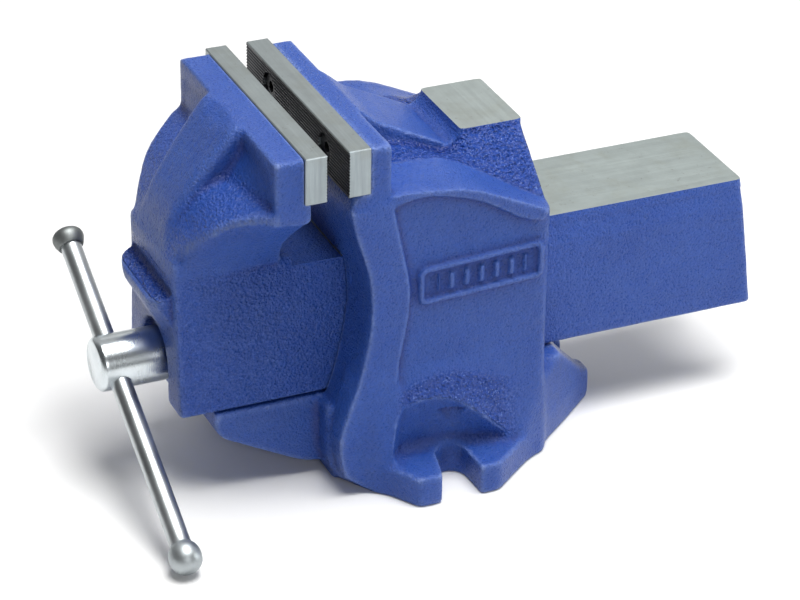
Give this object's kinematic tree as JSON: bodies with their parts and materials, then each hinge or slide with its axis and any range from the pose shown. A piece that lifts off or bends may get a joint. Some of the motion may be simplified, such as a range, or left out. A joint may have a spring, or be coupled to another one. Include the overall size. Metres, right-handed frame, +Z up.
{
  "type": "bench vise",
  "caption": "Fixed-base bench vise with a hollow sliding jaw, bolted steel jaw plates, a small anvil, slotted base lugs and a sliding tommy bar on its screw.",
  "frame": {"origin": "on the base's bottom plane, on the left-right symmetry plane, level with the centres of the two side lug slots", "axes": "+X along the jaws, +Y along the slide from the handle towards the tail, +Z up; the jaws close towards +Y"},
  "size_m": [0.1481, 0.2612, 0.144],
  "materials": {
    "enamel": "gloss blue enamel over rough sand-cast iron",
    "jaw_steel": "ground and hardened, grooved gripping face",
    "bright_steel": "turned and polished",
    "spring_steel": "oiled",
    "black_steel": "black oxide",
    "raw_iron": "as cast, greased"
  },
  "bodies": {
    "body": {"body_casting": "enamel", "fixed_jaw_plate": "jaw_steel", "fixed_jaw_plate_screws": "black_steel", "main_nut": "raw_iron", "nut_bolt_washer": "bright_steel", "nut_bolt": "black_steel"},
    "sliding_jaw": {"sliding_jaw_casting": "enamel", "sliding_jaw_plate": "jaw_steel", "sliding_jaw_plate_screws": "black_steel"},
    "screw": {"main_screw": "bright_steel", "thrust_washer": "bright_steel", "take_up_spring": "spring_steel", "spring_seat_washer": "bright_steel", "retaining_collar": "bright_steel", "collar_roll_pin": "spring_steel"},
    "handle": {"handle_bar": "bright_steel", "handle_end_cap": "bright_steel"}
  },
  "joints": [
    {"name": "jaw_slide", "type": "slide", "parent": "body", "child": "sliding_jaw", "axis": [0, 1, 0], "range_m": [-0.1, 0.00785]},
    {"name": "screw_spin", "type": "hinge", "parent": "sliding_jaw", "child": "screw", "pos_m": [0, -0.09, 0.048], "axis": [0, 1, 0], "range_deg": [-7205, 570]},
    {"name": "handle_slide", "type": "slide", "parent": "screw", "child": "handle", "axis": [0.8776, 0, -0.4795], "range_m": [-0.0685, 0.0412]}
  ],
  "couplings": [
    {"joint": "screw_spin", "follows": "jaw_slide", "rad_per_m": 1256.6}
  ]
}
